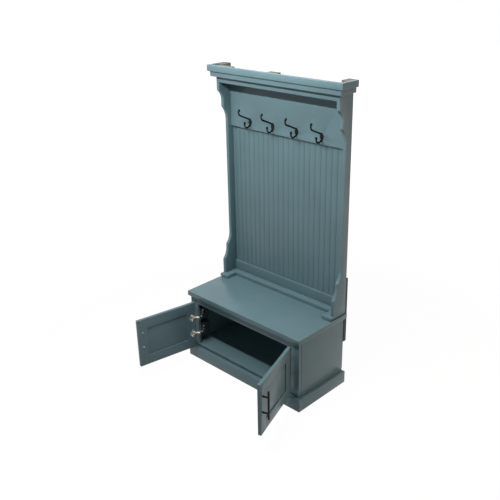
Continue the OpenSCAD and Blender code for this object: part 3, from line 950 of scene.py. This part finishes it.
@dataclass
class CoatHook:
    """A double coat hook: a leaf plate, a long upper arm and a short curl below.

    A shape is drawn with its first number out from the board and its second up from the middle of
    the plate.

    Attributes:
        finishes: The finishes.
        up: Height of the plate's middle above the hook board's lower edge.
        pitch: Distance between hooks.
        rod: Radius of the rod.
        knob: Radius of a knob.
        plate: Width, height and thickness of the plate.
        slope: Slope of the upper arm, in degrees.
        bend: Radius of the upper bend.
        bend_centre: Centre of the upper bend.
        tip: Where the upper bend ends, in degrees.
        curl: Radius of the lower curl.
        curl_centre: Centre of the lower curl.
        curl_start: Where the curl starts, in degrees.
        curl_rise: Length of the straight end of the curl.
        screw_ups: Heights of the two screws from the plate's middle.
        screw: One of the screws.
        count: Number of hooks.
        root: Distance from the board at which both rods start, inside the plate.
        steps: Steps along the upper arm, the upper bend and the curl.
        knob_lengths: Length over width of the upper knob and of the lower one.
        swell: A rod's radius at its root, as a share of its full radius.
        taper_share: How much of that share is gone at the knob.
        plate_ease: Rounding of the plate's edges.
        voxel: Size of the cells in which the hook's pieces melt into one.
    """

    finishes: Finishes
    up: float = 45 * MM
    pitch: float = 185 * MM
    rod: float = 4.9 * MM
    knob: float = 7.2 * MM
    plate: tuple[float, float, float] = (22 * MM, 46 * MM, 5 * MM)
    slope: float = 24.0
    bend: float = 21 * MM
    bend_centre: tuple[float, float] = (77.5 * MM, 72 * MM)
    tip: float = 35.0
    curl: float = 22 * MM
    curl_centre: tuple[float, float] = (27.5 * MM, -7.5 * MM)
    curl_start: float = -120.0
    curl_rise: float = 8 * MM
    screw_ups: tuple[float, float] = (5 * MM, -8 * MM)
    screw: Screw = Screw.small(14 * MM)
    count: int = 4
    root: float = 1.5 * MM
    steps: tuple[int, int, int] = (10, 16, 18)
    knob_lengths: tuple[float, float] = (1.35, 1.25)
    swell: float = 1.06
    taper_share: float = 0.14
    plate_ease: float = 1.6 * MM
    voxel: float = 0.8 * MM

    def arc(self, centre: tuple[float, float], radius: float, start: float, end: float,
            steps: int) -> list[tuple[float, float]]:
        """Points along an arc, in a number of steps from start to end in degrees."""
        angles = [math.radians(start + (end - start) * i / steps) for i in range(steps + 1)]
        return [(centre[0] + radius * math.cos(a), centre[1] + radius * math.sin(a))
                for a in angles]

    def rod_along(self, name: str, points: list[tuple[float, float]], widths: list[float]) -> Piece:
        """Sweeps a round rod along points.

        Args:
            name: The object's name.
            points: Points out and up.
            widths: The rod's radius at each point.

        Returns:
            The rod as a mesh.
        """
        curve = bpy.data.curves.new(name, "CURVE")
        curve.dimensions = "3D"
        curve.bevel_depth = 1.0
        curve.bevel_resolution = 6
        curve.use_fill_caps = True
        line = curve.splines.new("POLY")
        line.points.add(len(points) - 1)
        for spot, (out, up), width in zip(line.points, points, widths):
            spot.co = (0, -out, up, 1)
            spot.radius = width
        activate(added(name, curve))
        bpy.ops.object.convert(target="MESH")
        return bpy.context.object

    def ball(self, name: str, place: tuple[float, float], lengthen: float, lean: float) -> Piece:
        """A rounded knob, a little longer than it is wide.

        Args:
            name: The object's name.
            place: Its centre, out and up.
            lengthen: Its length over its width.
            lean: The direction of its length, in degrees above straight out.

        Returns:
            The knob.
        """
        ball = primitive("uv_sphere", name, (1, 1, lengthen), segments=24, ring_count=16,
                         radius=self.knob)
        ball.data.transform(Matrix.Rotation(math.radians(90 - lean), 4, "X"))
        ball.data.transform(Matrix.Translation((0, -place[0], place[1])))
        return ball

    def leaf(self, name: str) -> Piece:
        """The leaf-shaped plate, domed towards the room.

        Args:
            name: The object's name.

        Returns:
            The plate.
        """
        width, height, thick = self.plate
        radius = ((height / 2) ** 2 + (width / 2) ** 2) / width
        shift = radius - width / 2
        discs = ((name, thick, -shift), ("other_face", thick * 2, shift))
        leaf, other = (primitive("cylinder", label, vertices=160, radius=radius, depth=depth,
                                 location=(x, -thick / 2, 0), rotation=(math.pi / 2, 0, 0))
                       for label, depth, x in discs)
        apply_modifier(leaf, "BOOLEAN", object=other, operation="INTERSECT", solver="EXACT")
        bpy.data.objects.remove(other)
        apply_modifier(leaf, "BEVEL", limit_method="ANGLE", angle_limit=math.radians(60),
                       width=self.plate_ease, segments=4)
        return leaf

    def build_one(self, number: int) -> Piece:
        """Models one hook in its place.

        Args:
            number: The hook's number, from the left.

        Returns:
            The hook.
        """
        name = f"coat_hook_{number}"
        slope = math.radians(self.slope)
        start = (self.bend_centre[0] + self.bend * math.sin(slope),
                 self.bend_centre[1] - self.bend * math.cos(slope))
        run = (start[0] - self.root) / math.cos(slope)
        straight, round_bend, round_curl = self.steps
        upper = [(start[0] - run * (1 - i / straight) * math.cos(slope),
                  start[1] - run * (1 - i / straight) * math.sin(slope)) for i in range(straight)]
        upper += self.arc(self.bend_centre, self.bend, self.slope - 90, self.tip, round_bend)
        lower = self.arc(self.curl_centre, self.curl, self.curl_start, 0, round_curl)
        (first_out, first_up), (last_out, last_up) = lower[0], lower[-1]
        drop = (first_out - self.root) * math.tan(math.radians(self.curl_start + 90))
        lower = [(self.root, first_up - drop), *lower, (last_out, last_up + self.curl_rise)]
        pieces = [
            self.leaf(name),
            self.rod_along("upper_arm", upper, self.taper(len(upper))),
            self.rod_along("lower_curl", lower, self.taper(len(lower))),
            self.ball("upper_knob", upper[-1], self.knob_lengths[0], self.tip + 90),
            self.ball("lower_knob", lower[-1], self.knob_lengths[1], 90),
        ]
        hook = joined(pieces, name)
        apply_modifier(hook, "REMESH", mode="VOXEL", voxel_size=self.voxel)
        apply_modifier(hook, "SMOOTH", iterations=3, factor=0.5)
        hook.data.transform(self.place(number))
        bpy.ops.object.shade_smooth()
        return hook

    def place(self, number: int) -> Matrix:
        """Where a hook sits: the middle of its plate's back, on the face of the hook board.

        Args:
            number: The hook's number, from the left.

        Returns:
            Its placement.
        """
        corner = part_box("hook_board")[0]
        across = (number - (self.count + 1) / 2) * self.pitch
        return Matrix.Translation((across, corner.y, corner.z + self.up))

    def taper(self, count: int) -> list[float]:
        """Radii at a rod's points, thickest at its root and slimmest before its knob."""
        return [self.rod * (self.swell - self.taper_share * i / (count - 1)) for i in range(count)]

    def build(self) -> None:
        """Models and dresses the hooks and their screws."""
        numbers = range(1, self.count + 1)
        for number in numbers:
            hook = self.build_one(number)
            self.finishes.dress(hook, Body.CABINET, "black_iron", f"hook_{number}")
        places = [self.place(number) @ Matrix.Translation((0, -self.plate[2], up)) @ TO_FRONT
                  for number in numbers for up in self.screw_ups]
        screws = self.screw.spots("hook_screw_set", places)
        self.finishes.dress(screws, Body.CABINET, "bronze_screw", "hook_screws")


@dataclass
class Door:
    """A framed door with its handle, hinge cups, screws and pad.

    A place on the door is a, from its hinge edge, b, from its front face to its back, and z.

    Attributes:
        side: The side that it hangs on.
        joinery: Rounds and dresses its boards.
        opening: How far it stands open, in degrees.
        hinge_x: Distance of its hinge edge from the middle.
        hinge_y: Its front face when it is shut.
        thick: Its thickness.
        bar: Radius and length of the handle's bar.
        post: Radius of a post, and the distance between the two.
        bar_out: Distance from the door's face to the middle of the bar.
        bar_place: Place a and z of the bar's middle.
        cup_a: Place a of the hinge cups.
        hinge_z: Heights of the hinges.
        ear: Height of a cup's screw above its middle.
        flange: Thickness of a cup's flange.
        cup_screw: One of a cup's screws.
        handle_screw: One of the handle's screws.
        bar_ease: Rounding of the bar's ends.
        post_ease: Rounding of a post's ends.
        post_gap: Room between a post and the bar's middle or the door's face.
        collar: How far a post's collar stands out round it, the collar's length, and its rounding.
        collar_out: Distance from the door's face to a collar's middle.
        sides: Number of flat sides that a round rod is drawn with.
        radii: Rounding of the free edges of each part that comes from the frame.
    """

    side: Side
    joinery: Joinery
    opening: float
    hinge_x: float = 416 * MM
    hinge_y: float = -217.0 * MM
    thick: float = 19 * MM
    bar: tuple[float, float] = (6 * MM, 178 * MM)
    post: tuple[float, float] = (5 * MM, 102 * MM)
    bar_out: float = 32 * MM
    bar_place: tuple[float, float] = (383.5 * MM, 280 * MM)
    cup_a: float = 26 * MM
    hinge_z: tuple[float, float] = (201 * MM, 315 * MM)
    ear: float = 22 * MM
    flange: float = 1.2 * MM
    cup_screw: Screw = Screw.small(7 * MM)
    handle_screw: Screw = Screw(radius=4.5 * MM, height=2.5 * MM, shank=2 * MM, length=28 * MM,
                                slot_width=1.1 * MM, slot_depth=1.4 * MM)
    bar_ease: float = 1.2 * MM
    post_ease: float = 0.4 * MM
    post_gap: float = 0.25 * MM
    collar: tuple[float, float, float] = (1.2 * MM, 2.4 * MM, 0.6 * MM)
    collar_out: float = 1.25 * MM
    sides: int = 48
    radii: dict[str, float] = field(default_factory=lambda: {
        "door_hinge_stile": 1.5 * MM, "door_pull_stile": 1.5 * MM, "door_rails": 1.5 * MM,
        "door_panel": 0.6 * MM, "door_pad": 0.6 * MM,
        "hinge_cups": 0.3 * MM, "hinge_links": 0.5 * MM,
    })

    def __post_init__(self) -> None:
        """Notes the side's name and the body that the door is."""
        self.label = self.side.name.lower()
        self.body = Body(f"{self.label}_door")

    def place(self, a: float, b: float, z: float) -> Matrix:
        """The placement of a shape that is drawn at the origin, facing as the shut door faces.

        Args:
            a: Distance from the hinge edge.
            b: Distance behind the front face.
            z: Height.

        Returns:
            Its placement on the open door.
        """
        sign = self.side.value
        pivot = Matrix.Translation((sign * self.hinge_x, self.hinge_y, 0))
        turn = Matrix.Rotation(math.radians(sign * self.opening), 4, "Z")
        return pivot @ turn @ Matrix.Translation((-sign * a, b, z))

    def ease(self, part: str, body: Body, slot: str, rings: int = 3) -> None:
        """Eases and dresses a part that comes from the frame."""
        self.joinery.board(f"{self.label}_{part}", self.radii[part], body, slot, rings)

    def boards(self) -> None:
        """Models and dresses the door's frame and panel."""
        for part in ("door_hinge_stile", "door_pull_stile", "door_rails", "door_panel"):
            self.ease(part, self.body, "paint")

    def handle(self) -> None:
        """Models and dresses the bar handle and its screws."""
        radius, length = self.bar
        post_radius, span = self.post
        a, z = self.bar_place
        wider, collar_length, collar_ease = self.collar
        post_length = self.bar_out - 2 * self.post_gap
        bar = rounded_rod("bar", radius, length, self.bar_ease, vertices=self.sides)
        bar.data.transform(Matrix.Translation((0, -self.bar_out, 0)))
        pieces = [bar]
        for name, wide, long, ease, out in (
                ("post", post_radius, post_length, self.post_ease, self.bar_out / 2),
                ("collar", post_radius + wider, collar_length, collar_ease, self.collar_out)):
            rod = rounded_rod(name, wide, long, ease, vertices=self.sides)
            rod.data.transform(TO_FRONT)
            rod.data.transform(Matrix.Translation((0, -out, -span / 2)))
            pieces.append(rod)
        up = Matrix.Translation((0, 0, span))
        pieces += [copy_of(rod, f"upper_{rod.name}", up) for rod in pieces[1:]]
        handle = joined(pieces, f"{self.label}_bar_handle")
        handle.data.transform(self.place(a, 0, z))
        smooth(handle)
        finishes = self.joinery.finishes
        finishes.dress(handle, self.body, "black_iron", f"{self.label}_handle")
        places = [self.place(a, self.thick, z + u * span / 2) @ TO_BACK for u in (-1, 1)]
        screws = self.handle_screw.spots(f"{self.label}_handle_screw_pair", places)
        finishes.dress(screws, self.body, "screw_steel", f"{self.label}_handle_screws")

    def hinge_parts(self) -> None:
        """Models and dresses the hinge cups, their screws, the links and the pad."""
        self.ease("hinge_cups", self.body, "hinge_steel", rings=2)
        self.ease("hinge_links", Body(f"{self.label}_links"), "hinge_steel", rings=2)
        places = [self.place(self.cup_a, self.thick + self.flange, z + u * self.ear) @ TO_BACK
                  for z in self.hinge_z for u in (-1, 1)]
        screws = self.cup_screw.spots(f"{self.label}_cup_screw_set", places)
        self.joinery.finishes.dress(screws, self.body, "hinge_steel", f"{self.label}_cup_screws")
        self.ease("door_pad", self.body, "rubber")

    def build(self) -> None:
        """Models and dresses the whole door."""
        self.boards()
        self.handle()
        self.hinge_parts()


@dataclass
class CabinetFittings:
    """The cabinet's fittings: hinge arms, mounting plates with their screws, and the floor's pads.

    Attributes:
        joinery: Rounds and dresses the fittings.
        stile_x: Inner edge of the stiles.
        plate: Thickness of a mounting plate's wing.
        screw_up: Height of a wing's screw above its hinge.
        screw: One of a wing's screws.
        radii: Rounding of the free edges of the steel parts, by node.
        pad_radius: Rounding of the pads.
    """

    joinery: Joinery
    stile_x: float = 400 * MM
    plate: float = 2 * MM
    screw_up: float = 21 * MM
    screw: Screw = Screw.small(13 * MM)
    radii: dict[str, float] = field(default_factory=lambda: {
        "hinge_arms": 1.2 * MM, "hinge_plates": 0.6 * MM,
    })
    pad_radius: float = 0.5 * MM

    def build(self) -> None:
        """Models and dresses the fittings."""
        for name, radius in self.radii.items():
            self.joinery.board(name, radius, Body.CABINET, "hinge_steel")
        self.joinery.board("floor_bumpers", self.pad_radius, Body.CABINET, "rubber")
        low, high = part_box("hinge_plate_screws")
        screw_y = (low.y + high.y) / 2
        places = []
        for side in Side:
            face = side.value * (self.stile_x - self.plate)
            turn = Matrix.Rotation(-side.value * math.pi / 2, 4, "Y")
            places += [Matrix.Translation((face, screw_y, z + u * self.screw_up)) @ turn
                       for z in Door.hinge_z for u in (-1, 1)]
        screws = self.screw.spots("plate_screw_set", places)
        self.joinery.finishes.dress(screws, Body.CABINET, "hinge_steel", "hinge_plate_screws")


@dataclass
class CleatScrews:
    """The screws that hold the rear cleats.

    Attributes:
        finishes: The finishes.
        heights: Heights of the screws.
        screw: One of the screws.
    """

    finishes: Finishes
    heights: tuple[float, ...] = (306 * MM, 414 * MM, 541 * MM, 678 * MM)
    screw: Screw = Screw(radius=5 * MM, height=3 * MM, shank=2.2 * MM, length=22 * MM,
                         slot_width=1.3 * MM, slot_depth=1.8 * MM)

    def build(self) -> None:
        """Models and dresses the screws."""
        low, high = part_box("cleat_screws")
        face = high.y - self.screw.height
        columns = (low.x + self.screw.radius, high.x - self.screw.radius)
        places = [Matrix.Translation((x, face, z)) @ TO_BACK for x in columns for z in self.heights]
        screws = self.screw.spots("cleat_screw_set", places)
        self.finishes.dress(screws, Body.CABINET, "screw_steel", "cleat_screws")


# The studio


@dataclass
class Studio:
    """A plain white studio with a strip light, three soft panels and the camera.

    The thin strip gives the sharp level edges of shadow under the crown and on the cabinet's floor.

    Attributes:
        eye: Place of the camera.
        yaw: Turn of the view to the left of +Y, in degrees.
        pitch: How far the view looks down, in degrees.
        roll: Roll of the camera, in degrees.
        focal: Focal length in pixels of the picture.
        sensor: Width of the camera's sensor, in millimetres.
        picture: Width of the picture, in pixels.
        lamps: Name, place, aim, width, height, watts and colour of each lamp.
        ambient: Strength of the room's light.
        floor_size: Width and depth of the floor.
        floor_color: Colour of the floor, as its bounced light shows it.
        floor_roughness: Roughness of the floor.
        floor_specular: Strength of the floor's reflections.
        floor_glow: Strength at which the floor shows to the camera.
        near_share: Share of that glow near the hall tree, where the rest takes its shadow.
        near: Distance at which the share starts to grow, and where it is whole.
    """

    eye: tuple[float, float, float] = (2.6911, -2.8176, 2.5172)
    yaw: float = 44.816
    pitch: float = 23.418
    roll: float = -1.2427
    focal: float = 705.2
    sensor: float = 36.0
    picture: float = 500.0
    lamps: tuple[tuple, ...] = (
        ("strip_light", (-0.1, -0.99, 2.53), (-0.1, 0.1, 1.2), 1.4, 0.05, 28.5, "#ffffff"),
        ("overhead_panel", (0.0, -0.3, 3.6), (0.0, 0.0, 0.5), 2.0, 2.0, 54.0, "#ffffff"),
        ("right_panel", (2.2, 0.9, 0.9), (0.4, 0.0, 0.8), 1.4, 1.4, 17.5, "#ffe2d4"),
        ("front_panel", (0.8, -3.4, 1.3), (0.0, 0.0, 0.8), 2.5, 2.0, 8.0, "#ffffff"),
    )
    ambient: float = 0.05
    floor_size: float = 30.0
    floor_color: str = "#a2a2a2"
    floor_roughness: float = 0.9
    floor_specular: float = 0.1
    floor_glow: float = 1.08
    near_share: float = 0.9
    near: tuple[float, float] = (1.6, 4.5)

    def camera(self) -> None:
        """Sets the camera where the photograph was taken."""
        yaw, pitch, roll = (math.radians(v) for v in (self.yaw, self.pitch, self.roll))
        forward = Vector((-math.sin(yaw) * math.cos(pitch), math.cos(yaw) * math.cos(pitch),
                          -math.sin(pitch)))
        right = Vector((math.cos(yaw), math.sin(yaw), 0))
        up = right.cross(forward)
        rolled = right * math.cos(roll) + up * math.sin(roll)
        upward = up * math.cos(roll) - right * math.sin(roll)
        lens = bpy.data.cameras.new("camera")
        lens.sensor_width = self.sensor
        lens.lens = self.focal * self.sensor / self.picture
        camera = added("camera", lens)
        turn = Matrix((rolled, upward, -forward)).transposed().to_4x4()
        camera.matrix_world = Matrix.Translation(self.eye) @ turn
        bpy.context.scene.camera = camera

    def lamp(self, name: str, place: tuple[float, ...], aim: tuple[float, ...], width: float,
             height: float, power: float, color: str) -> None:
        """Adds one lamp.

        Args:
            name: Its name.
            place: Where it hangs.
            aim: The point that it faces.
            width: Its width.
            height: Its height.
            power: Its power in watts.
            color: Its colour.
        """
        light = bpy.data.lights.new(name, "AREA")
        light.shape = "RECTANGLE"
        light.size = width
        light.size_y = height
        light.energy = power
        light.color = linear(color)[:3]
        holder = added(name, light)
        holder.location = place
        holder.rotation_euler = (Vector(aim) - Vector(place)).to_track_quat("-Z", "Y").to_euler()

    def seen(self, tree: Tree) -> Socket:
        """Tells rays that show the backdrop from rays that light the object.

        Args:
            tree: The node tree to add to.

        Returns:
            1 for a camera, glossy or transmitted ray, and 0 for any other.
        """
        path = add_node(tree, "ShaderNodeLightPath").outputs
        seen = path["Is Camera Ray"]
        for other in ("Is Glossy Ray", "Is Transmission Ray"):
            seen = add_node(tree, "ShaderNodeMath", {0: seen, 1: path[other]},
                            operation="MAXIMUM").outputs[0]
        return seen

    def floor(self) -> None:
        """Lays the pale floor, which a camera sees as white with the object's soft shadow."""
        floor = primitive("plane", "studio_floor", size=self.floor_size)
        material, tree, shader = blank_material("studio_floor_paint")
        set_inputs(tree, shader, {
            "Base Color": linear(self.floor_color), "Roughness": self.floor_roughness,
            "Specular IOR Level": self.floor_specular})
        glow = add_node(tree, "ShaderNodeEmission", {"Strength": self.floor_glow})
        place = add_node(tree, "ShaderNodeTexCoord").outputs["Object"]
        away = add_node(tree, "ShaderNodeVectorMath", {0: place}, operation="LENGTH")
        reach = between(tree, away.outputs["Value"], self.near_share, 1.0, *self.near)
        share = add_node(tree, "ShaderNodeMath", {0: self.seen(tree), 1: reach},
                         operation="MULTIPLY")
        mix = add_node(tree, "ShaderNodeMixShader", {0: share.outputs[0], 1: shader.outputs[0],
                                                     2: glow.outputs[0]})
        set_inputs(tree, tree.nodes["Material Output"], {"Surface": mix.outputs[0]})
        floor.data.materials.append(material)

    def world(self) -> None:
        """Fills the room with dim white light that looks white to the camera and to gloss."""
        world = bpy.data.worlds.new("studio")
        bpy.context.scene.world = world
        world.use_nodes = True
        tree = world.node_tree
        level = between(tree, self.seen(tree), self.ambient, 1.0, 0.0, 1.0)
        set_inputs(tree, tree.nodes["Background"], {"Strength": level, "Color": (1, 1, 1, 1)})

    def build(self) -> None:
        """Sets up the studio."""
        self.camera()
        self.floor()
        self.world()
        for lamp in self.lamps:
            self.lamp(*lamp)
        bpy.context.scene.view_settings.view_transform = "Standard"


def main() -> None:
    """Dresses the hall tree and sets up the studio."""
    logging.basicConfig(level=logging.INFO, format="%(message)s")
    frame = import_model()
    finishes = Finishes()
    joinery = Joinery(frame["nodes"], finishes)
    Boards(joinery).build()
    BeadedBack(finishes).build()
    CoatHook(finishes).build()
    Door(Side.LEFT, joinery, opening=100).build()
    Door(Side.RIGHT, joinery, opening=109).build()
    CabinetFittings(joinery).build()
    CleatScrews(finishes).build()
    Studio().build()


if __name__ == "__main__":
    main()
